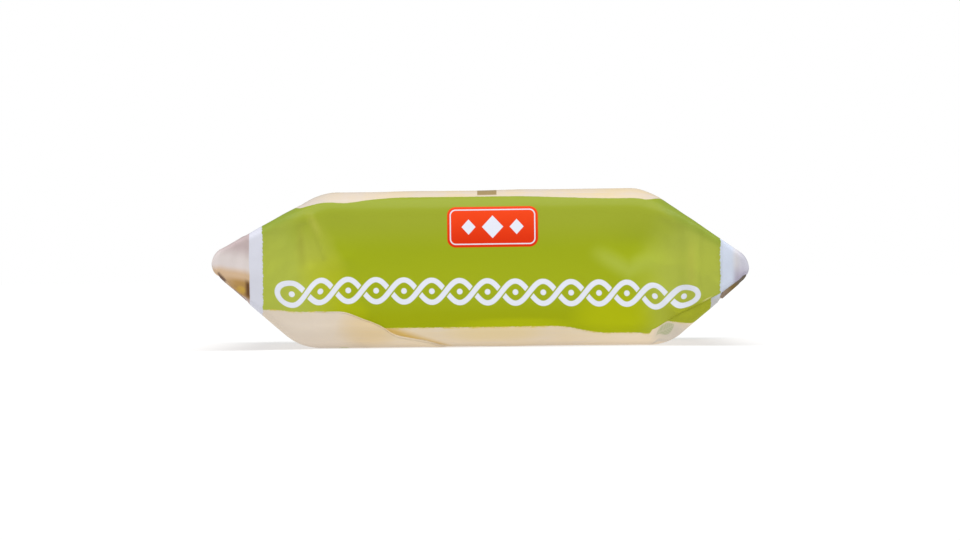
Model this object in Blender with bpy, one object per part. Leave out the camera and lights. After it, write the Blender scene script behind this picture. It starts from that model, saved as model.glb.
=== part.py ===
# A block of pasta filata cheese, shut in printed flow-wrap film and lying on its broad face.
# The film is a tube of one girth. Round the block it is a flat box, and past the block its
# top and base slope together to the end seals, while its sides flare out into two ears.
# Lengths are in metres, +X runs along the pack, +Z is up and the origin is under its middle.
import math
from dataclasses import dataclass

import bmesh
import bpy

# Driving dimensions of the wrapped block
LENGTH = 0.158
WIDTH = 0.080
HEIGHT = 0.0468
EDGE_RADIUS = 0.0075
SIDE_BULGE = 0.0012

# The ears, where the film's long edges become creases
CREASE_RADIUS = 0.004
EAR_TIP_RADIUS = 0.003

# The lapped seam that closes the tube, pressed flat on the top
SEAM_START = 0.001
SEAM_WIDTH = 0.011
SEAM_THICKNESS = 0.0006
SEAM_END_GAP = 0.002

# The crimped seal at each end, folded back under the slope
FIN_LENGTH = 0.0105
FIN_THICKNESS = 0.0009
FIN_SIDE_GAP = 0.0015
OVERLAP = 0.0012

# How finely round stretches are divided
ROUND_STEPS = 5
SLOPE_STEPS = 6
CORNER_STEPS = 4
WALL_STEPS = 4
PANEL_STEPS = 4

FILM_COLOUR = (0.37, 0.44, 0.03, 1)
FILM_ROUGHNESS = 0.4


@dataclass
class End:
    """One end of the pack. Its distances count outward from the middle of the pack."""

    side: int
    top_break: float
    base_break: float
    top_round: float
    base_round: float
    tip_height: float
    nose_radius: float

    @property
    def nose_centre(self):
        return LENGTH / 2 - self.nose_radius


LEFT = End(-1, 0.0470, 0.0530, 0.018, 0.015, 0.0257, 0.0055)
RIGHT = End(1, 0.0500, 0.0556, 0.020, 0.013, 0.0225, 0.0065)
GIRTH = 2 * (WIDTH + HEIGHT) - (8 - 2 * math.pi) * EDGE_RADIUS


@dataclass
class Outline:
    """The top or the base as seen from the side: level, then round, then straight to the nose."""

    end: End
    start: float
    rounding: float
    reach: float

    @property
    def angle(self):
        """How steeply the straight stretch falls, so that it meets the round nose smoothly."""
        run = self.end.nose_centre - self.start
        return math.atan2(self.reach, run) - math.asin(self.end.nose_radius / math.hypot(run, self.reach))

    @property
    def arc(self):
        """Where the round stretch starts and ends."""
        tangent = self.rounding * math.tan(self.angle / 2)
        return self.start - tangent, self.start + tangent * math.cos(self.angle)

    @property
    def nose_start(self):
        return self.end.nose_centre + self.end.nose_radius * math.sin(self.angle)

    def drop(self, distance):
        """How far the outline has turned in from its level stretch."""
        first, last = self.arc
        if distance <= first:
            return 0.0
        if distance < last:
            return self.rounding - math.sqrt(self.rounding**2 - (distance - first) ** 2)
        if distance < self.nose_start:
            return (distance - self.start) * math.tan(self.angle)
        past = distance - self.end.nose_centre
        return self.reach - math.sqrt(max(self.end.nose_radius**2 - past**2, 0.0))


def top_outline(end):
    return Outline(end, end.top_break, end.top_round, HEIGHT - end.tip_height)


def base_outline(end):
    return Outline(end, end.base_break, end.base_round, end.tip_height)


def end_at(x):
    return LEFT if x < 0 else RIGHT


def top_height(x):
    return HEIGHT - top_outline(end_at(x)).drop(abs(x))


def base_height(x):
    return base_outline(end_at(x)).drop(abs(x))


def spread(start, stop, steps):
    return [start + (stop - start) * step / steps for step in range(steps + 1)]


def end_stations(end):
    """Distances at which this end is cut into sections, closest where its outline turns."""
    top, base = top_outline(end), base_outline(end)
    cuts = spread(*top.arc, ROUND_STEPS) + spread(*base.arc, ROUND_STEPS)
    slope_end = min(top.nose_start, base.nose_start)
    cuts += spread(max(top.arc[1], base.arc[1]), slope_end, SLOPE_STEPS)
    first_turn = math.asin((slope_end - end.nose_centre) / end.nose_radius)
    turns = spread(first_turn, math.radians(84), ROUND_STEPS)
    cuts += [end.nose_centre + end.nose_radius * math.sin(turn) for turn in turns]
    return sorted(cuts)


def stations():
    """Every section's place along the pack, leaving out those that nearly coincide."""
    cuts = sorted([-cut for cut in end_stations(LEFT)] + end_stations(RIGHT))
    kept = [cuts[0]]
    for cut in cuts[1:]:
        if cut - kept[-1] > 0.0002:
            kept.append(cut)
    return kept


def half_width(x, half_height, corner):
    """From the tube's girth, less the rounding of the ear's tip."""
    width = (GIRTH + (8 - 2 * math.pi) * corner) / 4 - half_height
    past = abs(x) - (LENGTH / 2 - EAR_TIP_RADIUS)
    if past > 0:
        width -= EAR_TIP_RADIUS - math.sqrt(max(EAR_TIP_RADIUS**2 - past**2, 0.0))
    return width


def section(x):
    """The tube's outline at x, as a list of points that runs once round it."""
    top, base = top_height(x), base_height(x)
    middle, half_height = (top + base) / 2, (top - base) / 2
    share = 2 * half_height / HEIGHT
    corner = CREASE_RADIUS + (EDGE_RADIUS - CREASE_RADIUS) * share
    corner = min(corner, 0.9 * half_height)
    width = half_width(x, half_height, corner)
    inner_width, inner_height = width - corner, half_height - corner
    points = []
    for quarter in range(4):
        y_side, z_side = ((1, 1), (-1, 1), (-1, -1), (1, -1))[quarter]
        for turn in spread(quarter * math.pi / 2, (quarter + 1) * math.pi / 2, CORNER_STEPS):
            y = y_side * inner_width + corner * math.cos(turn)
            z = z_side * inner_height + corner * math.sin(turn)
            points.append((x, y, middle + z))
        if quarter in (0, 2):
            line = spread(y_side * inner_width, -y_side * inner_width, PANEL_STEPS)[1:-1]
            points += [(x, y, middle + z_side * half_height) for y in line]
        else:
            line = spread(z_side * inner_height, -z_side * inner_height, WALL_STEPS)[1:-1]
            for z in line:
                bulge = SIDE_BULGE * share * math.cos(math.pi / 2 * z / inner_height)
                points.append((x, y_side * (width + bulge), middle + z))
    return points


def solid_from_rings(name, rings):
    """One closed solid through a row of rings of equal count, with flat caps."""
    mesh = bmesh.new()
    rows = [[mesh.verts.new(point) for point in ring] for ring in rings]
    count = len(rows[0])
    for near, far in zip(rows, rows[1:]):
        for i in range(count):
            j = (i + 1) % count
            mesh.faces.new((near[i], near[j], far[j], far[i]))
    mesh.faces.new(rows[0])
    mesh.faces.new(reversed(rows[-1]))
    bmesh.ops.recalc_face_normals(mesh, faces=mesh.faces)
    data = bpy.data.meshes.new(name)
    mesh.to_mesh(data)
    mesh.free()
    solid = bpy.data.objects.new(name, data)
    return solid


def film_tube():
    return solid_from_rings("wrapped_cheese", [section(x) for x in stations()])


def back_seam():
    """A flat strip that follows the top from one nose to the other."""
    rings = []
    for x in stations():
        if abs(x) > end_at(x).nose_centre + SEAM_END_GAP:
            continue
        low, high = top_height(x) - OVERLAP, top_height(x) + SEAM_THICKNESS
        near, far = SEAM_START, SEAM_START + SEAM_WIDTH
        rings.append([(x, near, low), (x, far, low), (x, far, high), (x, near, high)])
    return solid_from_rings("back_seam", rings)


def end_fin(end):
    """The crimped seal, laid along the lower slope from the nose inward and as wide as the ears."""
    base = base_outline(end)
    rings = []
    for distance in (0, FIN_LENGTH):
        x = base.nose_start - distance * math.cos(base.angle)
        z = base.drop(base.nose_start) - distance * math.sin(base.angle)
        half_height = (top_height(end.side * x) - z) / 2
        half = half_width(end.side * x, half_height, CREASE_RADIUS) - FIN_SIDE_GAP
        ring = []
        for y, lift in ((-half, -OVERLAP), (half, -OVERLAP), (half, FIN_THICKNESS), (-half, FIN_THICKNESS)):
            outward_x, outward_z = lift * math.sin(base.angle), -lift * math.cos(base.angle)
            ring.append((end.side * (x + outward_x), y, z + outward_z))
        rings.append(ring)
    return solid_from_rings("end_fin", rings)


def joined(body, additions):
    """The body with the additions fused to it by one union."""
    group = bpy.data.collections.new("additions")
    bpy.context.scene.collection.children.link(group)
    for piece in additions:
        group.objects.link(piece)
    union = body.modifiers.new("union", "BOOLEAN")
    union.operation = "UNION"
    union.operand_type = "COLLECTION"
    union.collection = group
    bpy.context.view_layer.objects.active = body
    bpy.ops.object.modifier_apply(modifier=union.name)
    for piece in additions:
        bpy.data.objects.remove(piece)
    bpy.data.collections.remove(group)


def film_material():
    material = bpy.data.materials.new("printed_film")
    material.use_nodes = True
    shader = material.node_tree.nodes["Principled BSDF"]
    shader.inputs["Base Color"].default_value = FILM_COLOUR
    shader.inputs["Roughness"].default_value = FILM_ROUGHNESS
    shader.inputs["Metallic"].default_value = 0.0
    material.diffuse_color = FILM_COLOUR
    return material


def main():
    for old in list(bpy.data.objects):
        bpy.data.objects.remove(old)
    body = film_tube()
    bpy.context.scene.collection.objects.link(body)
    joined(body, [back_seam(), end_fin(LEFT), end_fin(RIGHT)])
    body.data.materials.append(film_material())
    body.data.shade_smooth()
    body.data.set_sharp_from_angle(angle=math.radians(35))


main()
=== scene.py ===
"""A block of pasta filata cheese in printed flow-wrap film: the film, its folds and its print."""
import math
from collections import namedtuple

import bpy
import numpy as np
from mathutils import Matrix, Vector


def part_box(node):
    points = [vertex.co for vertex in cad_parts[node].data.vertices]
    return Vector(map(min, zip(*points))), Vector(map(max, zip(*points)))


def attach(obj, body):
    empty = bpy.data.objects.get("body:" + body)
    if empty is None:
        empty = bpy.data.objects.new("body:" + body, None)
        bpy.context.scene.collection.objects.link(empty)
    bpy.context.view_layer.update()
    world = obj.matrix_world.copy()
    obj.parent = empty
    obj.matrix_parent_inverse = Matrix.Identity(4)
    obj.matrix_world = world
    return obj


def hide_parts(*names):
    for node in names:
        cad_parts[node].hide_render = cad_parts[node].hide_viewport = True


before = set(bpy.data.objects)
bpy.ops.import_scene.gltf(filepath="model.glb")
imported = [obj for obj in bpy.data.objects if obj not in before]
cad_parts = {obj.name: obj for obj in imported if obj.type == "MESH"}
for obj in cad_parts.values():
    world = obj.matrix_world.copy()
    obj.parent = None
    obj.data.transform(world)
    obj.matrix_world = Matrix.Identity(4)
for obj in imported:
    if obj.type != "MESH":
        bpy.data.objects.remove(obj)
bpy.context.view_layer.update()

NODE, SLOT, BODY = "wrapped_cheese", "printed_film", "root"
METRES = 0.001

# All film sizes below are in millimetres. X runs along the pack and Z up from its base.
LOWEST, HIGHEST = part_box(NODE)
LENGTH = (HIGHEST.x - LOWEST.x) / METRES
WIDTH = 80.0
SEAM_PROUD = 0.6
HEIGHT = HIGHEST.z / METRES - SEAM_PROUD
EDGE_RADIUS = 7.5
CREASE_RADIUS = 1.6
CREASE_TIGHTENING = 2.2
EAR_TIP_RADIUS = 3.0
# The sides bulge out, from nothing to this much between two heights of their flat part
SIDE_BULGE, BULGE_WALLS = 1.2, (1.5, 12.0)
GIRTH = 2 * (WIDTH + HEIGHT) - (8 - 2 * math.pi) * EDGE_RADIUS
QUARTER = GIRTH / 4

# The print, where X is along the film and the other number is the way round it from the
# middle of a long side, counted upward
BAND_TOP, BAND_BASE = 22.3, -17.6
LEFT_STRIP = (-68.4, -64.8)
RIGHT_STRIP = (70.7, 74.7)
# The end seals' own print lies beyond the ends of the film's, from here on and this long
SEAL_PRINT, SEAL_PRINT_LENGTH = 84.0, 6.0
# One unit of the print's map is this many millimetres
UV_SPAN = 250.0

# The photograph's view
CAMERA_PLACE = (-0.0001, -0.971, 0.02307)
LENS_MM, SENSOR_MM = 116.6, 36.0
CAMERA_ROLL = math.radians(0.61)


class Outline:
    """The top or the base seen from the side: level, then round, then straight to a round nose."""

    def __init__(self, start, rounding, reach, nose_radius):
        self.start, self.rounding = start, rounding
        self.reach, self.nose_radius = reach, nose_radius
        self.centre = LENGTH / 2 - nose_radius
        run = self.centre - start
        self.angle = math.atan2(reach, run) - math.asin(nose_radius / math.hypot(run, reach))
        tangent = rounding * math.tan(self.angle / 2)
        self.first, self.last = start - tangent, start + tangent * math.cos(self.angle)
        self.nose_start = self.centre + nose_radius * math.sin(self.angle)

    def drop(self, distance):
        """How far the outline has turned in from its level stretch."""
        into_arc = np.clip(distance - self.first, 0, self.last - self.first)
        arc = self.rounding - np.sqrt(self.rounding**2 - into_arc**2)
        slope = (distance - self.start) * math.tan(self.angle)
        past = np.clip(distance - self.centre, 0, self.nose_radius)
        nose = self.reach - np.sqrt(self.nose_radius**2 - past**2)
        return np.select([distance < self.last, distance < self.nose_start], [arc, slope], nose)


LEFT_TIP, RIGHT_TIP = 25.65, 22.85
LEFT_TOP = Outline(47.6, 18.0, HEIGHT - LEFT_TIP, 5.5)
LEFT_BASE = Outline(54.1, 15.0, LEFT_TIP, 5.6)
RIGHT_TOP = Outline(50.6, 18.0, HEIGHT - RIGHT_TIP, 5.8)
RIGHT_BASE = Outline(56.3, 13.0, RIGHT_TIP, 5.1)
# The block is a little thicker at its right end, and its top is slightly crowned. Both end
# over a stretch before the noses.
WEDGE, WEDGE_REACH, WEDGE_FADE = 0.0053, 45.0, (52.0, 74.0)
CROWN, CROWN_FADE = 0.33, (44.0, 57.0)
# The folded end seals lie in beds in the lower slopes. nose_share is how much of its depth a bed
# has at the nose, and fade is where it ends there. A seal is wrapped a share of its length round
# the nose, lies sunk under the outline, and has gaps to the ear's edge at the nose and at its cut
# end.
Seal = namedtuple("Seal", "side outline length depth nose_share fade wrap sunk gaps")
LEFT_SEAL = Seal(-1, LEFT_BASE, 10.3, 0.75, 1.0, (76.5, 78.8), 0.12, 0.42, (-0.55, 3.6))
RIGHT_SEAL = Seal(1, RIGHT_BASE, 7.6, 2.2, 0.62, (77.4, 78.9), 0.42, 0.2, (1.0, 1.2))
# Slight rises and dips of the top's creases: place along the pack, height and width
CREASE_WAVES = [
    (-74.5, -0.3, 3.0), (-69.3, -0.2, 2.2), (-58.8, 0.33, 4.5),
    (47.5, 0.12, 2.5), (52.5, -0.05, 2.0), (59.0, 0.05, 2.5), (65.5, 0.2, 5.0),
]


def smooth(value, start, stop):
    """0 before start, 1 after stop and an even turn between, for numbers or arrays."""
    share = np.clip((value - start) / (stop - start), 0, 1)
    return share * share * (3 - 2 * share)


def profile(x):
    """(top, base) heights of the film at x."""
    distance = np.abs(x)
    top = HEIGHT - np.where(x < 0, LEFT_TOP.drop(distance), RIGHT_TOP.drop(distance))
    base = np.where(x < 0, LEFT_BASE.drop(distance), RIGHT_BASE.drop(distance))
    bed = 0 * base
    for seal in (LEFT_SEAL, RIGHT_SEAL):
        reach = seal.length * math.cos(seal.outline.angle)
        inward = seal.outline.nose_start - seal.side * x
        deepening = seal.nose_share + (1 - seal.nose_share) * np.clip(inward / reach, 0, 1)
        inside = (1 - smooth(inward, reach, reach + 1.2)) * (1 - smooth(seal.side * x, *seal.fade))
        bed = bed + seal.depth * deepening * inside
    thicker = WEDGE * np.clip(x, -WEDGE_REACH, WEDGE_REACH)
    top = top + thicker * (1 - smooth(distance, *WEDGE_FADE))
    top = top + CROWN * (1 - smooth(distance, *CROWN_FADE))
    for place, height, width in CREASE_WAVES:
        top = top + height * np.exp(-(((x - place) / width) ** 2))
    return top, base + bed


def section(x):
    """(half height, middle height, corner radius, half width) of the tube at x."""
    top, base = profile(x)
    half_height, middle = np.maximum((top - base) / 2, 0.02), (top + base) / 2
    flatness = (2 * half_height / HEIGHT) ** CREASE_TIGHTENING
    corner = CREASE_RADIUS + (EDGE_RADIUS - CREASE_RADIUS) * flatness
    corner = np.minimum(corner, 0.9 * half_height)
    half_width = (GIRTH + (8 - 2 * math.pi) * corner) / 4 - half_height
    past = np.clip(np.abs(x) - (LENGTH / 2 - EAR_TIP_RADIUS), 0, EAR_TIP_RADIUS)
    half_width -= EAR_TIP_RADIUS - np.sqrt(EAR_TIP_RADIUS**2 - past**2)
    return half_height, middle, corner, half_width


def tube(x, around):
    """The smooth film at x, and at a distance round it from the middle of the front side."""
    around = (around + GIRTH / 2) % GIRTH - GIRTH / 2
    up = np.where(around < 0, -1.0, 1.0)
    back = np.abs(around) > QUARTER
    way = np.where(back, GIRTH / 2 - np.abs(around), np.abs(around))
    half_height, middle, corner, half_width = section(x)
    wall, bend = half_height - corner, corner * math.pi / 2
    turn = np.clip((way - wall) / corner, 0, math.pi / 2)
    panel = np.clip((way - wall - bend) / (QUARTER - wall - bend), 0, 1)
    up_wall = np.clip(way / np.maximum(wall, 0.01), 0, 1)
    bulge = SIDE_BULGE * smooth(wall, *BULGE_WALLS) * np.cos(math.pi / 2 * up_wall)
    out = (half_width - corner) * (1 - panel) + corner * np.cos(turn) + bulge
    rise = np.minimum(way, wall) + corner * np.sin(turn)
    return np.stack([x + 0 * out, np.where(back, out, -out), middle + up * rise], -1)


def outward(x, around, reach=0.05):
    """Unit normals of the smooth film, from neighbouring points."""
    along = tube(x + reach, around) - tube(x - reach, around)
    across = tube(x, around + reach) - tube(x, around - reach)
    normal = np.cross(along, across)
    return normal / np.maximum(np.linalg.norm(normal, axis=-1, keepdims=True), 1e-9)


class Ripple:
    """Smooth seeded noise in space, as a sum of plane waves of about one length."""

    def __init__(self, seed, length, waves=14):
        draw = np.random.default_rng(seed)
        way = draw.normal(size=(waves, 3))
        way /= np.linalg.norm(way, axis=1, keepdims=True)
        lengths = length * draw.uniform(0.7, 1.6, (waves, 1))
        self.turns = 2 * math.pi * way / lengths
        self.shifts = draw.uniform(0, 2 * math.pi, waves)
        self.share = math.sqrt(2 / waves)

    def __call__(self, places):
        return self.share * np.sin(places @ self.turns.T + self.shifts).sum(-1)


BROAD = Ripple(3, 26)
SLACK = Ripple(7, 13)
CRUMPLE = Ripple(11, 7)
FINE = Ripple(15, 4)


def fold_line(places, start, finish, width, height):
    """A soft ridge, or a furrow if height is below 0, from start to finish in X and Z."""
    start, finish = np.array(start, float), np.array(finish, float)
    way = finish - start
    length = np.linalg.norm(way)
    way /= length
    offset = places[..., (0, 2)] - start
    along = offset @ way
    across = offset @ np.array([-way[1], way[0]])
    ends = smooth(along, -width, width) * (1 - smooth(along, length - width, length + width))
    return height * ends * np.exp(-((across / width) ** 2))


def dent(places, middle, size, depth):
    """A round hollow in the front, in X and Z."""
    offset = (places[..., (0, 2)] - np.array(middle)) / np.array(size)
    return -depth * np.exp(-(offset**2).sum(-1))


# Ridges and furrows of the front side: start, finish, width and height
FRONT_FOLDS = [
    ((-50.5, 40.0), (-46.5, 27.0), 0.6, 0.48),
    ((-53.0, 37.5), (-50.5, 25.0), 1.6, -0.45),
    ((-57.5, 33.0), (-55.5, 22.0), 2.6, 0.30),
    ((-45.0, 25.0), (-38.0, 27.5), 2.0, 0.22),
    ((-63.0, 31.0), (-62.0, 15.0), 2.2, -0.18),
    ((65.2, 34.0), (64.6, 17.0), 0.8, -0.24),
    ((61.8, 34.0), (61.5, 17.0), 2.0, 0.30),
    ((37.5, 29.0), (45.5, 24.0), 2.2, 0.26),
    ((47.0, 24.0), (53.5, 31.0), 2.2, 0.24),
    ((54.5, 38.0), (59.0, 33.0), 2.0, -0.20),
]
FRONT_DENTS = [
    ((46.5, 31.0), (7.0, 4.2), 0.55),
    ((-41.0, 34.0), (6.0, 5.0), 0.25),
]
# The same kind of folds on the far side, seen from the front
BACK_FOLDS = [
    ((49.0, 41.0), (44.0, 30.0), 1.3, 0.32),
    ((53.0, 36.0), (50.5, 26.0), 1.9, -0.30),
    ((58.5, 33.0), (57.0, 18.0), 2.4, 0.28),
    ((-52.0, 39.0), (-47.0, 31.0), 1.4, 0.30),
    ((-57.5, 31.0), (-49.0, 24.0), 1.8, -0.28),
    ((-48.0, 8.5), (-60.0, 16.5), 1.2, 0.34),
    ((-64.5, 33.0), (-64.0, 18.0), 1.0, -0.24),
]
BACK_DENTS = [
    ((-46.0, 29.0), (6.5, 5.0), 0.5),
    ((43.0, 24.0), (7.0, 5.0), 0.35),
]


# An end slope: where it starts, where its folds begin to fade before the seal, how deep it sags,
# how high the film's small gathers are beside the seal, and the seed of its folds
Slope = namedtuple("Slope", "start fade sag gathers seed")
TOP_SLOPE = Slope(50.0, 68.0, 1.1, 0.09, 21)
BASE_SLOPE = Slope(55.0, 61.0, 0.5, 0.0, 34)
SLOPE_END = LENGTH / 2 - 5
# Its folds fan out, the outermost from FAN_START to FAN_END beside the middle line. Each strays
# a little, and has a width and a height between these.
FOLD_COUNT = 25
FAN_START, FAN_END, FAN_STRAY = 37.0, 50.0, 1.7
FOLD_WIDTHS, FOLD_HEIGHTS = (0.8, 1.7), (0.2, 0.6)
GATHERS_START, GATHERS_END = (66.0, 73.0), (76.0, 78.8)
PANEL_WAVE = 0.1


def slope_folds(places, slope):
    """Tension folds that fan out over the end slopes from the block's corners to the seals."""
    draw = np.random.default_rng(slope.seed)
    total = np.zeros(places.shape[:-1])
    x, y = places[..., 0], places[..., 1]
    half_width = section(x)[3]
    for side in (-1, 1):
        run = side * x
        share = np.clip((run - slope.start) / (SLOPE_END - slope.start), -0.4, 1)
        before_seal = 1 - smooth(run, slope.fade, slope.fade + 7)
        strays = draw.uniform(-FAN_STRAY, FAN_STRAY, FOLD_COUNT)
        for end in np.linspace(-FAN_END, FAN_END, FOLD_COUNT) + strays:
            corner = min(abs(end) / FAN_END, 1.0)
            start = math.copysign(FAN_START * math.sqrt(corner), end)
            line = start + (end - start) * share
            width = draw.uniform(*FOLD_WIDTHS) * (0.55 + 0.45 * share)
            height = draw.uniform(*FOLD_HEIGHTS) * (0.55 + 0.9 * corner**2) * draw.choice((-0.8, 1.0))
            reach = draw.uniform(0.2, 0.85) * (1 - corner**2)
            fade = smooth(share, reach - 0.25, reach + 0.2) * before_seal
            total += height * fade * np.exp(-np.sqrt(((y - line) / width) ** 2 + 0.04) * 1.6)
        sag = smooth(run, slope.start + 1, slope.start + 9) * before_seal
        total -= slope.sag * sag * (1 - smooth(np.abs(y), half_width - 15, half_width - 6))
        gathers = smooth(run, *GATHERS_START) * (1 - smooth(run, *GATHERS_END))
        total += slope.gathers * gathers * np.sin(y * 2.6 + 2.2 * np.sin(y * 0.35 + side) + run * 0.2)
    panel = 1 - smooth(np.abs(x), slope.start - 8, slope.start + 2)
    wave = np.sin(y * 0.42 + 1.3 * np.sin(x * 0.045 + slope.seed))
    total += PANEL_WAVE * panel * wave * smooth(np.abs(y), 12, 34)
    return total * (1 - smooth(np.abs(y), half_width - 9, half_width - 4))


# How high the film's general unevenness is: on the block, and what is added at the ears
BROAD_HEIGHTS = (0.07, 0.08)
SLACK_HEIGHTS = (0.02, 0.05)
RIDGE_HEIGHTS = (0.02, 0.13)
CRUMPLE_HEIGHTS = (0.008, 0.045)
FINE_HEIGHT = 0.006
# The crumpled kinds are ridges where their waves pass 0, and this keeps their mean near 0
RIDGE_LEVEL = 0.7


def relief(places, normals):
    """How far the film stands off its smooth shape, from the way that each place faces."""
    x, y = places[..., 0], places[..., 1]
    off_tip = 1 - smooth(np.abs(x), LENGTH / 2 - 3.5, LENGTH / 2 - 0.5)
    inset = section(x)[3] - np.abs(y)
    rim = smooth(np.abs(normals[..., 2]), 0.35, 0.8) * (1 - smooth(inset, 5, 12))
    ears = smooth(np.abs(x), 38, 58)
    front, back = smooth(-normals[..., 1], 0.35, 0.8), smooth(normals[..., 1], 0.35, 0.8)
    level = 1 - smooth(np.abs(normals[..., 1]), 0.15, 0.5)
    over, under = level * (normals[..., 2] > 0), level * (normals[..., 2] < 0)

    def grown(heights):
        return heights[0] + heights[1] * ears

    total = BROAD(places) * grown(BROAD_HEIGHTS) + SLACK(places) * grown(SLACK_HEIGHTS)
    total += (RIDGE_LEVEL - np.abs(SLACK(places[..., ::-1]))) * grown(RIDGE_HEIGHTS)
    total += (RIDGE_LEVEL - np.abs(CRUMPLE(places))) * grown(CRUMPLE_HEIGHTS)
    total += FINE(places) * FINE_HEIGHT
    folds = sum(fold_line(places, *fold) for fold in FRONT_FOLDS)
    total += front * (folds + sum(dent(places, *hollow) for hollow in FRONT_DENTS))
    folds = sum(fold_line(places, *fold) for fold in BACK_FOLDS)
    total += back * (folds + sum(dent(places, *hollow) for hollow in BACK_DENTS))
    total += over * slope_folds(places, TOP_SLOPE) + under * slope_folds(places, BASE_SLOPE)
    held = under * smooth(np.abs(x), 62, 68)
    return total * off_tip * (1 - 0.8 * rim) * (1 - 0.9 * held)


def film(x, around):
    """The film as it lies, with its dents and folds, never under the surface it rests on."""
    places, normals = tube(x, around), outward(x, around)
    places = places + normals * relief(places, normals)[..., None]
    places[..., 2] = np.maximum(places[..., 2], 0.0)
    return places


def stations(step=0.6, nose_steps=11):
    """Places along the pack: even over the film, closer round the two noses."""
    def nose(outline):
        turns = np.linspace(outline.angle, math.radians(89.5), nose_steps)
        return outline.centre + outline.nose_radius * np.sin(turns)
    left, right = nose(LEFT_TOP), nose(RIGHT_TOP)
    middle = np.arange(-left[0] + step, right[0] - step / 2, step)
    return np.concatenate([-left[::-1], middle, right])


def ring(x, wall_steps=56, corner_steps=9, top_steps=112, base_steps=44, back_steps=50):
    """Distances round the tube at x, once round from the middle of the base."""
    half_height, _, corner, _ = section(x)
    wall, bend = (half_height - corner)[:, None], (corner * math.pi / 2)[:, None]
    def run(start, stop, steps):
        return start + (stop - start) * (np.arange(steps) / steps)[None, :]
    half = GIRTH / 2
    return np.concatenate([
        run(0 * wall - QUARTER, -wall - bend, base_steps // 2),
        run(-wall - bend, -wall, corner_steps),
        run(-wall, wall, wall_steps),
        run(wall, wall + bend, corner_steps),
        run(wall + bend, half - wall - bend, top_steps),
        run(half - wall - bend, half - wall, corner_steps),
        run(half - wall, half + wall, back_steps),
        run(half + wall, half + wall + bend, corner_steps),
        run(half + wall + bend, 0 * wall + half + QUARTER, base_steps // 2),
    ], 1)


def grid_mesh(name, points, print_map, closed=False, capped=False):
    """A smooth mesh over a grid of points, with a UV map that says where its print comes from.

    The map has one more column than the points if the grid closes on itself.
    """
    rows, columns = points.shape[:2]
    index = np.arange(rows * columns).reshape(rows, columns)
    right = np.concatenate([index, index[:, :1]], 1) if closed else index
    faces = np.stack([right[:-1, :-1], right[:-1, 1:], right[1:, 1:], right[1:, :-1]], -1)
    corners = [print_map[:-1, :-1], print_map[:-1, 1:], print_map[1:, 1:], print_map[1:, :-1]]
    maps = np.stack(corners, 2)
    faces, maps = faces.reshape(-1, 4).tolist(), maps.reshape(-1, 2)
    if capped:
        faces += [index[0, ::-1].tolist(), index[-1].tolist()]
        ends = [print_map[0, :columns][::-1], print_map[-1, :columns]]
        maps = np.concatenate([maps] + ends)
    mesh = bpy.data.meshes.new(name)
    mesh.from_pydata((points.reshape(-1, 3) * METRES).tolist(), [], faces)
    layer = mesh.uv_layers.new(name="print")
    layer.data.foreach_set("uv", (maps / UV_SPAN).astype(np.float32).ravel())
    mesh.shade_smooth()
    piece = bpy.data.objects.new(name, mesh)
    bpy.context.scene.collection.objects.link(piece)
    return piece


# The tuck at the lower right draws the print along the film, and up by this much at its start
# and at its end
TUCK_ALONG = 3.0
TUCK_UP, TUCK_UP_LEAST = 5.2, 1.6


def tucked(x, around):
    """The place in the print of the film at (x, around), with the tuck at the lower right."""
    line = RIGHT_FOLD_EDGE(np.linspace(0, 1, 60))
    crease = np.interp(x, line[:, 0], around_at(line[:, 0], line[:, 1]))
    below = smooth(crease - around, -2.6, -0.4) * smooth(around, -QUARTER, -QUARTER + 28)
    fall = 0.038 * np.clip(x - 57, 0, 12) ** 2
    up = np.maximum(TUCK_UP - fall, TUCK_UP_LEAST) * smooth(x, 50.0, 53.5)
    return np.stack([x + TUCK_ALONG * below * smooth(x, 54, 60), around - up * below], -1)


def film_piece():
    x = stations()
    around = ring(x)
    across = np.broadcast_to(x[:, None], around.shape)
    points = film(across, around)
    wide = np.concatenate([around, around[:, :1] + GIRTH], 1)
    long = np.broadcast_to(x[:, None], wide.shape)
    print_map = tucked(long, wide)
    return grid_mesh("film", points, print_map, closed=True, capped=True)


class Curve:
    """A smooth line through a few chosen points, read at any share of its length."""

    def __init__(self, points):
        self.points = np.array(points, float)
        steps = np.linalg.norm(np.diff(self.points, axis=0), axis=1)
        self.shares = np.concatenate([[0], np.cumsum(steps)]) / steps.sum()
        self.slopes = np.gradient(self.points, self.shares, axis=0)

    def __call__(self, share):
        share = np.asarray(share, float)
        i = np.clip(np.searchsorted(self.shares, share, side="right") - 1, 0, len(self.shares) - 2)
        span = (self.shares[i + 1] - self.shares[i])[..., None]
        t = ((share - self.shares[i])[..., None]) / span
        near, far = self.points[i], self.points[i + 1]
        into, out = self.slopes[i] * span, self.slopes[i + 1] * span
        return (
            near * (2 * t**3 - 3 * t**2 + 1) + into * (t**3 - 2 * t**2 + t)
            + far * (3 * t**2 - 2 * t**3) + out * (t**3 - t**2)
        )


def around_at(x, height):
    """How far round the front a height above the base lies."""
    half_height, middle, corner, _ = section(x)
    rise, wall = np.asarray(height - middle), half_height - corner
    past = np.clip((np.abs(rise) - wall) / corner, 0, 1)
    return np.sign(rise) * (np.minimum(np.abs(rise), wall) + corner * np.arcsin(past))


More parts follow.
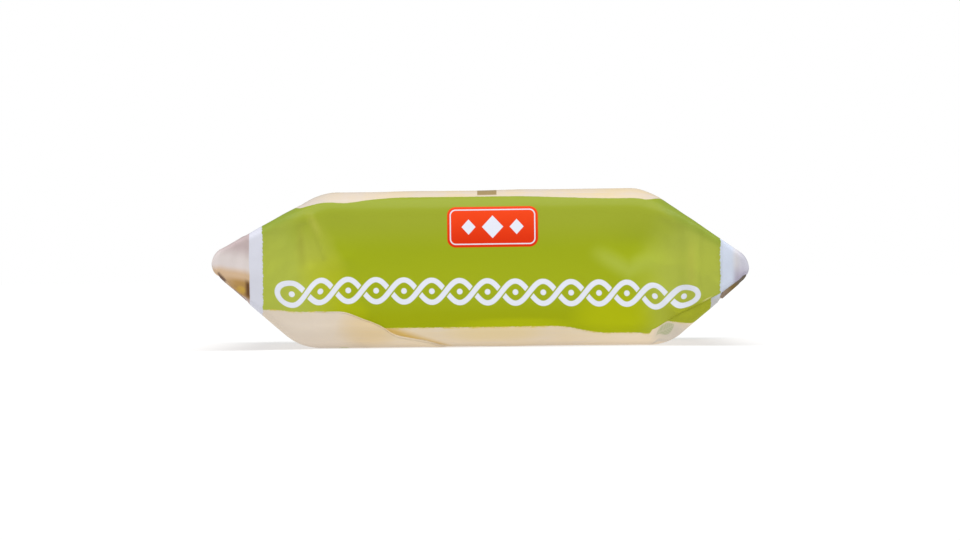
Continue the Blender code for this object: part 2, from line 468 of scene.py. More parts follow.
def flap_piece(name, edge, reach, lift, side, print_shift=np.zeros_like):
    """A lap of film with a free edge along a curve of (x, height), whose rest sinks into the film.

    The lap runs from the edge to reach(x), and stands off the film by up to lift at its edge.
    side is 1 where the lap lies above its edge, and -1 where it lies below. print_shift(x) is how
    far round the lap's print has moved.
    """
    shares = np.linspace(0, 1, 150)
    line = edge(shares)
    x, start = line[:, 0], around_at(line[:, 0], line[:, 1])
    stop = reach(x)
    steps = np.concatenate([[0, 0], np.linspace(0, 1, 34) ** 1.3])
    across = np.broadcast_to(x[:, None], (len(x), len(steps)))
    around = start[:, None] + (stop - start)[:, None] * steps[None, :]
    around[:, 0] -= side * 0.35
    rows = np.arange(len(steps))
    ends = smooth(shares, 0, 0.3)[:, None] * (1 - smooth(shares, 0.92, 1.0))[:, None]
    fall = 1 - smooth(steps, 0.05, 0.75)
    held = ends * (1 - smooth(steps, 0.8, 1)[None, :])
    height = lift * ends * fall[None, :] + 0.03 * ends - 0.06 * (1 - held)
    height = np.where(rows[None, :] == 0, -0.1, height)
    points = film(across, around) + outward(across, around) * height[..., None]
    points[..., 2] = np.maximum(points[..., 2], 0.0)
    print_map = np.stack([across, around + print_shift(across)], -1)
    if side < 0:
        points, print_map = points[:, ::-1], print_map[:, ::-1]
    return grid_mesh(name, points, print_map)


# The free edges of the two laps, as (x, height), and how far they stand off
LEFT_FLAP_LIFT, RIGHT_FOLD_LIFT = 0.75, 0.28
LEFT_FLAP_EDGE = Curve([
    (-52.0, 11.0), (-46.0, 10.8), (-40.5, 10.5), (-36.0, 8.8), (-30.1, 6.4), (-25.6, 3.7),
    (-21.1, 2.7), (-16.6, 1.9), (-12.1, 0.7), (-9.2, 0.15),
])
RIGHT_FOLD_EDGE = Curve([
    (49.0, 3.6), (52.0, 5.0), (55.7, 7.6), (59.0, 9.5), (62.5, 11.2), (68.1, 14.2),
    (72.2, 16.5), (75.6, 18.6), (77.6, 20.6),
])


def left_flap():
    """The lap of the lower left ear over the block's edge."""
    def reach(x):
        half_height, _, corner, _ = section(x)
        return -(half_height - corner) - corner * math.pi / 2 - 1.5

    def shift(x):
        return -5.2 * smooth(x, -47, -41.5)

    return flap_piece("left_flap", LEFT_FLAP_EDGE, reach, LEFT_FLAP_LIFT, -1, shift)


def right_fold():
    """The fold of the right side over the lower slope."""
    def reach(x):
        return around_at(x, profile(x)[1] + 14.0 - 6.0 * smooth(x, 62, 78))

    return flap_piece("right_fold", RIGHT_FOLD_EDGE, reach, RIGHT_FOLD_LIFT, 1)


# The lapped seam along the top: its two edges beside the middle line, and its pressed ribs
SEAM_NEAR, SEAM_FAR = 1.0, 11.6
SEAM_RIB_PITCH, SEAM_RIB_HEIGHT = 1.5, 0.07
SEAM_STEP, SEAM_LOOSE = 0.34, 0.14


def back_seam():
    """The lapped seam along the top, with pressed ribs and a loose free edge."""
    x = stations(0.6, 8)
    x = x[np.abs(x) < LENGTH / 2 - 0.3]
    share = np.linspace(0, 1, 34)
    far = SEAM_FAR + 0.25 * np.sin(x / 19.0) + 0.15 * np.sin(x / 6.3 + 1)
    y = SEAM_NEAR + (far - SEAM_NEAR)[:, None] * share[None, :]
    ribbed = smooth(share, 0.08, 0.2) * (1 - smooth(share, 0.82, 0.9))
    ribs = SEAM_RIB_HEIGHT * np.cos(2 * math.pi * (y - SEAM_NEAR) / SEAM_RIB_PITCH) * ribbed
    loose = SEAM_LOOSE * (1 + np.sin(x / 7.7)[:, None]) * smooth(share, 0.7, 1.0)
    height = SEAM_STEP * np.sqrt(np.clip(share / 0.06, 0, 1)) + ribs + loose
    height[:, -1] = height[:, 0] = -0.2
    height -= 0.6 * smooth(np.abs(x), LENGTH / 2 - 1.6, LENGTH / 2 - 0.4)[:, None]
    across = np.broadcast_to(x[:, None], y.shape)
    around = QUARTER + y
    points = film(across, around) + outward(across, around) * height[..., None]
    print_map = np.stack([across, around], -1)
    return grid_mesh("back_seam", points, print_map)


# An end seal's half width, its zigzag cut and its crimped ribs
FIN_HALF, FIN_STEP = QUARTER - 2.8, 0.28
TOOTH_PITCH, TOOTH_DEPTH = 2.6, 0.9
CRIMP_PITCH, CRIMP_HEIGHT = 1.7, 0.1


def end_fin(name, seal):
    """A crimped end seal, folded back under the lower slope, with a zigzag cut edge."""
    outline, half = seal.outline, FIN_HALF
    y = np.arange(-half, half, FIN_STEP)
    y = np.concatenate([y[:1], y, y[-1:]])
    teeth = np.abs((y / TOOTH_PITCH) % 1 - 0.5) * 2
    cut = seal.length - 0.5 + TOOTH_DEPTH * teeth
    share = np.concatenate([np.linspace(-seal.wrap, 1, 32), [1.0]])
    down = share[:, None] * cut[None, :]
    straight = np.maximum(down, 0)
    turn = outline.angle + np.maximum(-down, 0) / outline.nose_radius
    x = outline.centre + outline.nose_radius * np.sin(turn) - straight * math.cos(outline.angle)
    z = outline.reach - outline.nose_radius * np.cos(turn) - straight * math.sin(outline.angle)
    ribs = np.sin(2 * math.pi * y / CRIMP_PITCH)[None, :] * smooth(share, 0.12, 0.25)[:, None]
    dive = 0.5 * (1 - smooth(share, -seal.wrap, 0.22 - seal.wrap))[:, None]
    loose = 0.06 * (1 + np.sin(y / 17.0 + seal.side))[None, :] * smooth(share, 0.5, 1)[:, None]
    rise = CRIMP_HEIGHT * ribs + loose - dive - seal.sunk
    rise[-1] = rise[:, 0] = rise[:, -1] = -seal.depth - 0.3
    x, z = seal.side * (x + rise * np.sin(turn)), z - rise * np.cos(turn)
    gap = seal.gaps[0] + (seal.gaps[1] - seal.gaps[0]) * np.clip(share, 0, 1)[:, None]
    points = np.stack([x, y[None, :] * (section(x)[3] - gap) / half, z], -1)
    past = SEAL_PRINT_LENGTH * np.maximum(share, -0.12)[:, None]
    across = seal.side * (SEAL_PRINT + past) + 0 * y[None, :]
    print_map = np.stack([across, 0.01 * points[..., 1]], -1)
    if seal.side > 0:
        points, print_map = points[:, ::-1], print_map[:, ::-1]
    return grid_mesh(name, points, print_map)


class Wire:
    """A shader value. Python's operators on it add Math nodes, and node adds any other."""

    def __init__(self, tree, socket):
        self.tree, self.socket = tree, socket

    def node(self, kind, settings=None, values=None, output=0):
        """A node of this kind, with its settings made first and then its sockets' values or links."""
        made = self.tree.nodes.new(kind)
        for name, value in (settings or {}).items():
            setattr(made, name, value)
        for key, value in (values or {}).items():
            if isinstance(value, Wire):
                self.tree.links.new(value.socket, made.inputs[key])
            else:
                made.inputs[key].default_value = value
        return Wire(self.tree, made.outputs[output])

    def math(self, operation, *others):
        values = {i: value for i, value in enumerate((self, *others))}
        return self.node("ShaderNodeMath", {"operation": operation}, values)

    def __add__(self, other):
        return self.math("ADD", other)

    def __sub__(self, other):
        return self.math("SUBTRACT", other)

    def __mul__(self, other):
        return self.math("MULTIPLY", other)

    def __truediv__(self, other):
        return self.math("DIVIDE", other)

    def __rsub__(self, other):
        return self.node("ShaderNodeMath", {"operation": "SUBTRACT"}, {0: other, 1: self})

    def __abs__(self):
        return self.math("ABSOLUTE")

    def __pow__(self, other):
        return self.math("POWER", other)

    __radd__ = __add__
    __rmul__ = __mul__

    def above(self, edge, soft=0.12):
        """0 below the edge and 1 above it, with a soft step between."""
        return self.node(
            "ShaderNodeMapRange",
            {"interpolation_type": "SMOOTHSTEP"},
            {"Value": self, "From Min": edge - soft, "From Max": edge + soft},
        )

    def below(self, edge, soft=0.12):
        return 1 - self.above(edge, soft)

    def over(self, colour, under):
        """The colour where this mask is 1, laid over what is under it."""
        return self.node("ShaderNodeMix", {"data_type": "RGBA"}, {0: self, 6: under, 7: colour}, 2)

    def least(self, other):
        return self.math("MINIMUM", other)

    def most(self, other):
        return self.math("MAXIMUM", other)


def ink(red, green, blue):
    """A linear colour from the usual 0 to 255 screen values."""
    def linear(value):
        value /= 255
        return value / 12.92 if value <= 0.04045 else ((value + 0.055) / 1.055) ** 2.4
    return (linear(red), linear(green), linear(blue), 1.0)


CREAM = ink(216, 203, 190)
CREAM_STREAK = ink(225, 203, 156)
CREAM_COOL = ink(207, 198, 192)
CREAM_LOW = ink(227, 208, 178)
CREAM_BRIGHT = ink(236, 218, 192)
CREAM_FLAP = ink(217, 204, 190)
CREAM_PAINTED_SHADOW = ink(212, 176, 98)
GREEN_EDGE = ink(149, 162, 46)
GREEN_HIGH = ink(152, 163, 46)
GREEN_MIDDLE = ink(151, 164, 24)
GREEN_SOFT = ink(157, 169, 22)
GREEN_LOW = ink(154, 163, 0)
GREEN_EAR = ink(172, 182, 70)
GREEN_PALE = ink(154, 165, 66)
GREEN_SHADE = ink(162, 168, 40)
GREEN_CREASE_SHADE = ink(140, 157, 56)
GREEN_WARM = ink(178, 183, 34)
GREEN_SUNNY = ink(173, 180, 0)
GREEN_CREASE_HIGHLIGHT = ink(171, 184, 66)
GREEN_TINT_AND_RIDGE_HIGHLIGHT = ink(174, 178, 72)
GREEN_FURROW_SHADE = ink(156, 160, 60)
YELLOW = ink(204, 186, 60)
TUCK_EDGE_HIGHLIGHT = ink(222, 216, 150)
STRIP_LEFT = ink(210, 211, 223)
STRIP_RIGHT = ink(205, 213, 230)
STRIP_SHADE = ink(192, 191, 191)
WHITE_INK = ink(224, 227, 239)
BADGE_HIGH = ink(240, 72, 28)
BADGE_LOW = ink(214, 46, 8)
LILAC = ink(188, 171, 171)
SILVER_HIGHLIGHT = ink(214, 204, 202)
BEIGE = ink(208, 178, 146)
GOLD = ink(176, 138, 82)
YELLOW_GOLD = ink(196, 158, 74)
STRIP_SHADOW_BROWN = ink(100, 68, 42)
MAUVE = ink(188, 168, 162)
COLD_WHITE = ink(214, 211, 216)
COLD_NOSE_SHADE = ink(195, 194, 205)
DUSK = ink(178, 172, 190)
FOIL = ink(136, 112, 62)
ROSE = ink(160, 140, 122)
LEFT_NOSE_SHADOW = ink(124, 100, 88)
RIGHT_NOSE_SHADOW = ink(122, 111, 98)
MARK = ink(160, 138, 96)
LEAF = ink(168, 174, 132)
FOLD_SHADE_GREY = ink(198, 191, 182)


def speckle(wire, x, around, scales, detail=2.0, seed=0.0):
    """Noise from -1 to 1 over the film, with a scale for each millimetre of x and of the way round."""
    place = wire.node("ShaderNodeCombineXYZ", None, {0: x * scales[0], 1: around * scales[1], 2: seed})
    value = wire.node(
        "ShaderNodeTexNoise",
        {"noise_dimensions": "3D"},
        {"Vector": place, "Scale": 1.0, "Detail": detail, "Roughness": 0.55},
    )
    return (value - 0.5) * 2.6


PLAIT_START, PLAIT_END = -60.4, 64.6
PLAIT_EYES = 15
PLAIT_EYE = (PLAIT_END - PLAIT_START) / PLAIT_EYES
PLAIT_SWING = 3.3
PLAIT_STROKE = 0.78
PLAIT_GAP = 0.45
PLAIT_DOT = 0.85
# The plait follows the film, which leans and drops a little toward its right end
PLAIT_LEAN, PLAIT_DROP = 0.0232, 7.0
PLAIT_END_DROP, PLAIT_END_SHRINK = 1.5, 0.24


def plait(x, side_way):
    """A mask of a two-strand plait with a dot in each eye, along the lower half of the band."""
    right_end = x.above(57.0, 8.0)
    rise = side_way + x * PLAIT_LEAN + PLAIT_DROP - right_end * PLAIT_END_DROP
    phase = (x - PLAIT_START) * (math.pi / PLAIT_EYE)
    reach = (1 - right_end * PLAIT_END_SHRINK) * PLAIT_SWING
    swing = phase.math("SINE") * reach
    lean = phase.math("COSINE")
    steep = (PLAIT_SWING * math.pi / PLAIT_EYE) ** 2
    narrow = (lean * lean * steep + 1) ** -0.5
    first, second = abs(rise - swing) * narrow, abs(rise + swing) * narrow
    first_strand, second_strand = first.below(PLAIT_STROKE), second.below(PLAIT_STROKE)
    first_clear = first.above(PLAIT_STROKE + PLAIT_GAP)
    second_clear = second.above(PLAIT_STROKE + PLAIT_GAP)
    on_top = lean.above(0.0, 0.01)
    strands = (
        on_top * first_strand.most(second_strand * first_clear)
        + (1 - on_top) * second_strand.most(first_strand * second_clear)
    )
    past_middle = abs(x - (PLAIT_START + PLAIT_END) / 2)
    last_eye = past_middle - (PLAIT_END - PLAIT_START - PLAIT_EYE) / 2
    long, high = last_eye / (PLAIT_EYE / 2), rise / reach
    oval = (long * long + high * high).math("SQRT")
    steepness = (long * long / (PLAIT_EYE / 2) ** 2 + high * high / (reach * reach)).math("SQRT")
    round_end = abs((oval - 1.0) * oval / steepness).below(PLAIT_STROKE)
    outer = last_eye.above(0.0, 0.01)
    place = ((phase / math.pi).math("FRACT") - 0.5) * PLAIT_EYE
    dots = (place * place + rise * rise).math("SQRT").below(PLAIT_DOT) * last_eye.below(1.5)
    return (outer * round_end + (1 - outer) * strands).most(dots)


BADGE_PLACE = (3.8, 12.4)
BADGE_HALF = (13.6, 6.1)
BADGE_CORNER = 2.6
# Its border line lies this far in, and has this half width
BORDER_INSET, BORDER_HALF = 0.95, 0.17
MIDDLE_LOZENGE, SIDE_LOZENGE = (3.2, 3.4), (2.1, 2.3)
LOZENGE_SPACING = 7.2


def badge(x, side_way):
    """Masks of a rounded label and of its white border and three lozenges."""
    across, up = x - BADGE_PLACE[0], side_way - BADGE_PLACE[1]
    past = (abs(across) - (BADGE_HALF[0] - BADGE_CORNER)).most(0.0)
    above = (abs(up) - (BADGE_HALF[1] - BADGE_CORNER)).most(0.0)
    edge = (past * past + above * above).math("SQRT") - BADGE_CORNER
    border = abs(edge + BORDER_INSET).below(BORDER_HALF, 0.1)
    middle = (abs(across) / MIDDLE_LOZENGE[0] + abs(up) / MIDDLE_LOZENGE[1]).below(1.0, 0.03)
    beside = abs(abs(across) - LOZENGE_SPACING)
    sides = (beside / SIDE_LOZENGE[0] + abs(up) / SIDE_LOZENGE[1]).below(1.0, 0.04)
    return edge.below(0.0), border.most(middle).most(sides)


# A soft round patch of colour: its middle and half size in the print, and how strong it is
Patch = namedtuple("Patch", "middle size strength")
TIP_GLINT = Patch((-70.8, -6.8), (1.5, 1.3), 1.0)
CREAM_STREAKS = Patch((4.0, -19.0), (17.0, 4.5), 0.8)
# A wider painted shadow beside the left flap's edge
FLAP_PAINTED_SHADE = Patch((-34.0, -22.5), (10.0, 7.0), 0.32)
LEAF_SHADE = Patch((59.5, -24.5), (9.0, 6.0), 0.7)
EDGE_SHADE = Patch((54.5, -27.0), (4.5, 1.2), 0.8)
WARM_EAR = Patch((-47.0, -2.5), (7.5, 19.0), 0.55)
# A painted highlight over the crease of the right ear
RIGHT_CREASE_HIGHLIGHT = Patch((44.5, 1.5), (13.0, 9.0), 0.85)
SUNNY_PATCHES = [
    Patch((40.0, -15.0), (14.0, 9.0), 0.85),
    Patch((10.0, -17.0), (20.0, 2.4), 0.7),
    Patch((-39.0, -13.0), (6.0, 5.0), 0.6),
]


def spot(x, side_way, patch):
    """The patch's strength in its middle, fading to 0 at its rim."""
    across, up = (x - patch.middle[0]) / patch.size[0], (side_way - patch.middle[1]) / patch.size[1]
    return (across * across + up * up).below(0.6, 0.6) * patch.strength


def tip_colour(x, side_way, mottle, front):
    """The satin ends: lilac and a silver band of painted highlight above, beige and gold below with a
    painted glint, a painted shadow beside the left strip, and painted shade at the right nose.
    """
    way = side_way + mottle * 0.4
    beside = way.above(-14.0, 3.0)
    # The silver band between the lilac and the beige is a painted highlight across the rounded tip.
    left = way.above(4.0, 2.4).over(LILAC, SILVER_HIGHLIGHT)
    left = way.below(-1.1, 1.3).over(BEIGE, left)
    left = (way.below(-3.8, 1.1) * x.above(-74.5, 3.0) * front * beside).over(GOLD, left)
    left = (spot(x, way, TIP_GLINT) * front).over(YELLOW_GOLD, left)
    # A thin brown line beside the left strip is a painted shadow where the tip passes under the strip.
    left = (abs(x + 68.9).below(0.6, 0.6) * abs(way + 6.2).below(2.3, 1.0) * front).over(STRIP_SHADOW_BROWN, left)
    left = (way.below(-8.9, 0.7) * beside * x.above(-73.0, 1.0)).over(MAUVE, left)
    # The right end turns greyer at its nose as painted shade.
    right = x.above(76.0, 1.3).over(COLD_NOSE_SHADE, COLD_WHITE)
    right = way.below(-1.5, 2.5).over(DUSK, right)
    return x.above(0.0).over(right, left)


def seal_colour(x):
    """The end seals, from a painted shadow line at the nose to a paler cut edge."""
    past = abs(x) - SEAL_PRINT
    left = past.above(2.6, 1.2).over(MAUVE, BEIGE)
    # The dark line at the nose is painted shadow where the seal turns under.
    left = past.below(1.3, 0.4).over(LEFT_NOSE_SHADOW, left)
    right = past.above(3.7, 1.3).over(ROSE, FOIL)
    # The dark line at the nose is painted shadow where the seal turns under.
    right = past.below(1.6, 1.2).over(RIGHT_NOSE_SHADOW, right)
    return x.above(0.0).over(right, left)


LEAF_PLACE = (56.0, -22.6)
LEAF_LEAN = math.radians(26)
LEAF_HALF_LENGTH, LEAF_HALF_WIDTH = 4.2, 2.1
LEAF_VEINS = 5.2


def leaf(x, side_way):
    """A mask of a small faint leaf with a pale midrib and side veins."""
    across, up = x - LEAF_PLACE[0], side_way - LEAF_PLACE[1]
    along = across * math.cos(LEAF_LEAN) + up * math.sin(LEAF_LEAN)
    off = abs(up * math.cos(LEAF_LEAN) - across * math.sin(LEAF_LEAN))
    half = (1.0 - along * along / LEAF_HALF_LENGTH**2) * LEAF_HALF_WIDTH
    blade = (half - off).above(0.25, 0.35)
    ribs = ((along - off) * LEAF_VEINS).math("SINE").above(0.8, 0.3).most(off.below(0.14, 0.14))
    return blade * (0.75 - ribs * 0.35)


def cream_ground(wire, x, around, side_way, front):
    """The cream of the top and base, with brush streaks and a faint leaf by the tuck, and painted
    shade beside the left flap's edge and under the tuck's fold.
    """
    streaks = speckle(wire, x, around, (0.05, 0.75), 3.0, 9.0)
    wash = speckle(wire, x, around, (0.09, 0.05), 2.0, 4.0)
    streaky = ((streaks + wash) * 0.55 + 0.3).most(0.0).least(0.9)
    colour = streaky.over(CREAM_STREAK, CREAM)
    colour = (x.below(-45.0, 6.0) * side_way.above(12.0, 8.0) * 0.7).over(CREAM_COOL, colour)
    lower = (streaks * 0.25 + 0.7 - x.above(32.0, 12.0) * 0.3) * side_way.below(-14.0, 8.0)
    colour = lower.over(CREAM_LOW, colour)
    colour = (spot(x, side_way, CREAM_STREAKS) * front).over(CREAM_STREAK, colour)
    colour = (x.above(34.0, 14.0) * side_way.below(-16.0, 6.0) * 0.8).over(CREAM_BRIGHT, colour)
    colour = (x.below(-40.0, 9.0) * side_way.below(-8.0, 3.0) * 0.8).over(CREAM_FLAP, colour)
    # A darker warm band along the left flap's edge, and a wider patch beside it, are painted shadow of
    # the lap.
    beside_flap = side_way + x * 0.44 + 30.2
    flap_edge_shadow = (1.0 - abs(beside_flap) / 2.6).most(0.0) * abs(x + 20.5).below(10.5, 3.0) * front
    colour = (flap_edge_shadow * 1.1).least(0.95).over(CREAM_PAINTED_SHADOW, colour)
    colour = (spot(x, side_way, FLAP_PAINTED_SHADE) * front).over(CREAM_PAINTED_SHADOW, colour)
    # Grey patches by the leaf and along the tuck's fold are painted shade.
    shade = spot(x, side_way, LEAF_SHADE).most(spot(x, side_way, EDGE_SHADE))
    colour = (shade * front).over(FOLD_SHADE_GREY, colour)
    colour = (leaf(x, side_way) * front).over(LEAF, colour)
    corner = abs(x + 43.5).below(3.4, 0.4) * side_way.below(-31.3, 0.3) * front
    return corner.over(GREEN_SHADE, colour)


def green_band(x, side_way, broad):
    """The band's greens: deeper in the middle, paler and warmer over the two ears, bluer toward the
    top as a painted sheen, with painted highlights and shades along its folds and creases.
    """
    # The greens' step from bluer at the top to saturated at the base is partly print and partly a
    # painted sheen of the light from above.
    green = side_way.above(18.5, 3.0).over(GREEN_EDGE, GREEN_HIGH)
    green = side_way.below(10.0, 6.0).over(GREEN_MIDDLE, green)
    green = side_way.below(1.0, 7.0).over(GREEN_SOFT, green)
    green = side_way.below(-11.5, 3.5).over(GREEN_LOW, green)
    outer = abs(x) - x.above(0.0) * 2.5 - (side_way - 1.0).most(0.0) * 0.5 + broad * 3.0
    ears = outer.above(47.5, 7.5)
    green = ears.over(side_way.above(9.0, 8.0).over(GREEN_PALE, GREEN_EAR), green)
    # The warm patch is a tint, and its upper part takes the same pale green as the painted ridge
    # highlights.
    warm = side_way.above(3.0, 5.0).over(GREEN_TINT_AND_RIDGE_HIGHLIGHT, GREEN_WARM)
    lean = x + side_way * 0.25 + broad * 3.0
    green = spot(lean, side_way, WARM_EAR).over(warm, green)
    # A pale V over the dent on the right ear is a painted highlight.
    past_crease = side_way - abs(x - RIGHT_CREASE_HIGHLIGHT.middle[0]) * 0.6 + 1.4
    crease = abs(past_crease).below(2.4, 2.6) * spot(x, side_way, RIGHT_CREASE_HIGHLIGHT)
    green = crease.over(GREEN_CREASE_HIGHLIGHT, green)
    # Pale lines along two ridges of the ears are painted highlights, and a darker line along a furrow
    # is painted shade.
    ridge_highlight = abs(x + side_way * 0.41 + 43.7).below(1.0, 1.1) * abs(side_way - 14.5).below(3.0, 2.5)
    ridge_highlight = ridge_highlight.most(abs(x - 63.0).below(0.9, 1.0) * abs(side_way - 1.0).below(7.0, 4.0))
    green = (ridge_highlight * 0.65).over(GREEN_TINT_AND_RIDGE_HIGHLIGHT, green)
    furrow_shade = abs(x + side_way * 0.04 + 53.0).below(0.9, 1.2) * abs(side_way - 9.0).below(5.0, 4.0)
    green = (furrow_shade * 0.7).over(GREEN_FURROW_SHADE, green)
    for patch in SUNNY_PATCHES:
        green = spot(x, side_way, patch).over(GREEN_SUNNY, green)
    green = (x.above(54.0, 6.0) * side_way.below(-9.0, 2.5)).over(GREEN_SHADE, green)
    # A darker green along the creases of the two ears' slopes is painted shade.
    past_edge = side_way + abs(x) * 0.72 - 59.6
    crease_shade = past_edge.above(-1.5, 2.0) * past_edge.below(5.0, 2.0) * abs(x).above(53.0, 4.0)
    return crease_shade.over(GREEN_CREASE_SHADE, green)


# The band's edges turn outward over the two ears, and the top edge falls a little toward them
EAR_LEFT, EAR_RIGHT, EAR_RISE = (-56.0, 2.5), (54.0, 4.8), 5.0
LEFT_FALL, LEFT_FALL_DEPTH = (-32.0, 9.0), 1.3
RIGHT_FALL, RIGHT_FALL_DEPTH = (24.0, 18.0), 1.45
DIP_PLACE, DIP_HALF, DIP_DEPTH = -40.5, (4.0, 4.5), 0.6
BASE_FALL, BASE_FALL_DEPTH = (30.0, 8.0), 2.4
# On the left flap the base edge stands higher, in a shallow arch
ARCH_END, ARCH_PLACE, ARCH_HEIGHT, ARCH_CURVE = (-43.0, 2.0), -57.5, 6.7, 0.011


def band_top(x):
    """The way round to the band's upper edge."""
    edge = x.below(*EAR_LEFT).most(x.above(*EAR_RIGHT)) * EAR_RISE + BAND_TOP
    edge = edge - x.below(*LEFT_FALL) * LEFT_FALL_DEPTH - x.above(*RIGHT_FALL) * RIGHT_FALL_DEPTH
    return edge - abs(x - DIP_PLACE).below(*DIP_HALF) * DIP_DEPTH


def band_base(x, front):
    """The way round to the band's lower edge."""
    past = x - ARCH_PLACE
    arch = ARCH_HEIGHT - past * past * ARCH_CURVE
    return BAND_BASE - x.above(*BASE_FALL) * BASE_FALL_DEPTH + x.below(*ARCH_END) * front * arch


# The plain mark on the top edge: its middle, its half width and the stretch round the film
MARK_PLACE, MARK_HALF, MARK_START, MARK_END = 2.2, 2.9, 23.0, 32.0
# The painted highlight on the tuck's edge, a pale line where light catches it: its slope, its start,
# and the middle of its stretch
TUCK_LINE_SLOPE, TUCK_LINE_START, TUCK_LINE_PLACE = 0.489, -41.4, 67.2


def film_print(wire):
    """The film's printed colour, as fields laid one over another."""
    place = wire.node("ShaderNodeUVMap", {"uv_map": "print"})
    split = {"Vector": place}
    x = wire.node("ShaderNodeSeparateXYZ", None, split, 0) * UV_SPAN
    around = wire.node("ShaderNodeSeparateXYZ", None, split, 1) * UV_SPAN
    side_way = QUARTER - abs(around - QUARTER)
    front = around.below(QUARTER)
    rough = speckle(wire, x, around, (1.1, 1.1), 4.0, 2.0)
    broad = speckle(wire, x, around, (0.06, 0.09), 2.0, 5.0)
    colour = cream_ground(wire, x, around, side_way, front)

    over_base = side_way - band_base(x, front) + rough * 0.2
    in_band = (band_top(x) - side_way + rough * 0.1).above(0.0) * over_base.above(0.0)
    colour = in_band.over(green_band(x, side_way, broad), colour)
    strokes = speckle(wire, x, around, (0.35, 0.8), 2.0, 7.0).above(0.1, 0.5)
    brush = (1.0 - abs(over_base + 0.1) / 0.45).most(0.0) * strokes
    colour = brush.over(YELLOW, colour)
    # A pale line along the tuck's edge is a painted highlight.
    off_line = abs(side_way - x * TUCK_LINE_SLOPE - TUCK_LINE_START)
    tuck_edge_highlight = off_line.below(0.22, 0.12) * abs(x - TUCK_LINE_PLACE).below(0.9, 1.2) * front
    colour = (tuck_edge_highlight * 0.8).over(TUCK_EDGE_HIGHLIGHT, colour)

    colour = (plait(x, side_way) * in_band).over(WHITE_INK, colour)
    label, figure = badge(x, side_way)
    red = side_way.above(BADGE_PLACE[1], 7.0).over(BADGE_HIGH, BADGE_LOW)
    colour = (label * in_band).over(red, colour)
    colour = (figure * label).over(WHITE_INK, colour)

    mark = abs(x - MARK_PLACE).below(MARK_HALF) * side_way.above(MARK_START, 0.4)
    mark = mark * around.below(MARK_END) * front
    colour = mark.over(MARK, colour)
    bow = (side_way * side_way).least(200.0) * 0.002
    bowed = x + rough * 0.4 - 0.3 + bow - x.above(0.0) * bow * 1.6
    outside = bowed.below(LEFT_STRIP[1]).most(bowed.above(RIGHT_STRIP[0]))
    right_strip = (side_way.below(-9.8, 1.0) * front).over(STRIP_SHADE, STRIP_RIGHT)
    colour = outside.over(x.above(0.0).over(right_strip, STRIP_LEFT), colour)
    tips = x.below(LEFT_STRIP[0]).most(x.above(RIGHT_STRIP[1], 0.9))
    colour = tips.over(tip_colour(x, side_way, broad, front), colour)
    return abs(x).above(SEAL_PRINT - 1.0).over(seal_colour(x), colour)


def film_material():
    """Satin printed film: opaque ink under a thin clear layer, with slight waves in its gloss."""
    material = bpy.data.materials.new("printed_film")
    material.use_nodes = True
    tree = material.node_tree
    shader = tree.nodes["Principled BSDF"]
    wire = Wire(tree, None)
    tree.links.new(film_print(wire).socket, shader.inputs["Base Color"])
    place = wire.node("ShaderNodeTexCoord", None, None, 3)
    cloud = wire.node("ShaderNodeTexNoise", None, {"Vector": place, "Scale": 120.0, "Detail": 2.0})
    tree.links.new((cloud * 0.14 + 0.30).socket, shader.inputs["Roughness"])
    grain = wire.node("ShaderNodeTexNoise", None, {"Vector": place, "Scale": 420.0, "Detail": 3.0})
    bump = wire.node("ShaderNodeBump", None, {"Strength": 0.08, "Distance": 0.0004, "Height": grain})
    tree.links.new(bump.socket, shader.inputs["Normal"])
    shader.inputs["Specular IOR Level"].default_value = 0.06
    shader.inputs["Coat Weight"].default_value = 0.07
    shader.inputs["Coat Roughness"].default_value = 0.2
    return material


def plain_material(name, colour, roughness):
    material = bpy.data.materials.new(name)
    material.use_nodes = True
    shader = material.node_tree.nodes["Principled BSDF"]
    shader.inputs["Base Color"].default_value = colour
    shader.inputs["Roughness"].default_value = roughness
    return material


def dress():
    """Makes the pack's pieces and sets them on the frame."""
    pieces = [
        film_piece(),
        left_flap(),
        right_fold(),
        back_seam(),
        end_fin("left_fin", LEFT_SEAL),
        end_fin("right_fin", RIGHT_SEAL),
    ]
    material = film_material()
    for piece in pieces:
        piece.data.materials.append(material)
        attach(piece, BODY)
        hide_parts(NODE)


ROOM_LIGHT = 0.34
OVERHEAD_LIGHT = 0.86
OVERHEAD_SOFTNESS = math.radians(50)
OVERHEAD_RISE, OVERHEAD_TURN = math.radians(64), math.radians(4)
FLOOR_REACH, FLOOR_DROP = 6.0, 0.0002
FLOOR_WHITE, FLOOR_GLOW = 0.42, 0.58


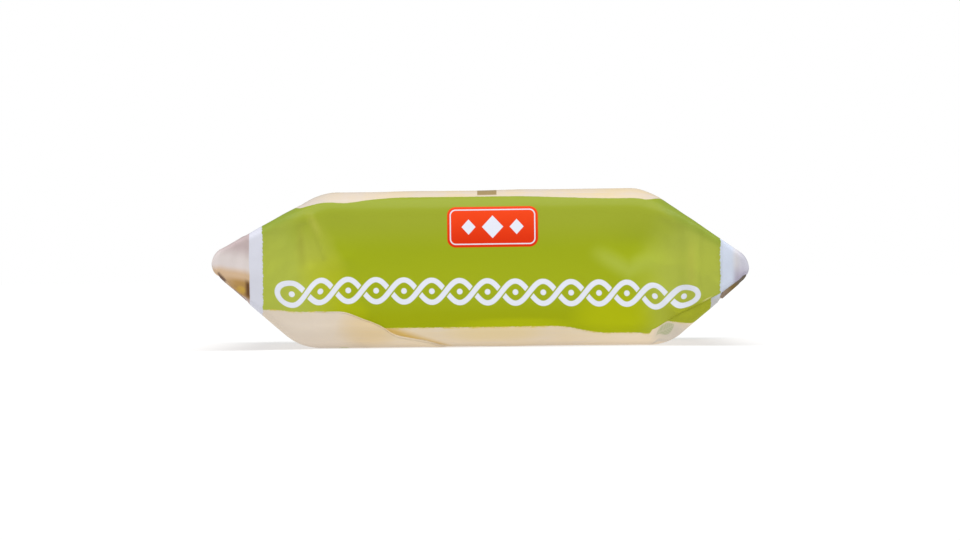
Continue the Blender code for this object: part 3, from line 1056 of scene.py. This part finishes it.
def studio():
    """A white floor, an even pale room and soft light from above and in front."""
    mesh = bpy.data.meshes.new("floor")
    reach = FLOOR_REACH
    corners = [(-reach, -reach, 0), (reach, -reach, 0), (reach, reach, 0), (-reach, reach, 0)]
    mesh.from_pydata(corners, [], [(0, 1, 2, 3)])
    floor = bpy.data.objects.new("floor", mesh)
    bpy.context.scene.collection.objects.link(floor)
    floor.location.z = -FLOOR_DROP
    white = plain_material("white_floor", (FLOOR_WHITE, FLOOR_WHITE, FLOOR_WHITE, 1), 0.9)
    glow = white.node_tree.nodes["Principled BSDF"].inputs
    glow["Emission Color"].default_value = (1.0, 1.0, 1.0, 1)
    glow["Emission Strength"].default_value = FLOOR_GLOW
    glow["Specular IOR Level"].default_value = 0.0
    floor.data.materials.append(white)
    world = bpy.data.worlds.new("pale_room")
    world.use_nodes = True
    wire = Wire(world.node_tree, None)
    seen = wire.node("ShaderNodeLightPath")
    strength = seen * (1.0 - ROOM_LIGHT) + ROOM_LIGHT
    background = world.node_tree.nodes["Background"]
    background.inputs["Color"].default_value = (1.0, 1.0, 1.0, 1)
    world.node_tree.links.new(strength.socket, background.inputs["Strength"])
    bpy.context.scene.world = world
    lamp = bpy.data.lights.new("overhead_light", "SUN")
    lamp.energy, lamp.angle = OVERHEAD_LIGHT * math.pi, OVERHEAD_SOFTNESS
    sun = bpy.data.objects.new("overhead_light", lamp)
    level, up = math.cos(OVERHEAD_RISE), math.sin(OVERHEAD_RISE)
    toward = Vector((math.sin(OVERHEAD_TURN) * level, -math.cos(OVERHEAD_TURN) * level, up))
    sun.rotation_euler = toward.to_track_quat("Z", "Y").to_euler()
    bpy.context.scene.collection.objects.link(sun)
    bpy.context.scene.view_settings.view_transform = "Standard"


def camera():
    data = bpy.data.cameras.new("camera")
    data.lens, data.sensor_width = LENS_MM, SENSOR_MM
    eye = bpy.data.objects.new("camera", data)
    eye.location = CAMERA_PLACE
    eye.rotation_euler = (math.pi / 2, CAMERA_ROLL, 0)
    bpy.context.scene.collection.objects.link(eye)
    bpy.context.scene.camera = eye


camera()
dress()
studio()
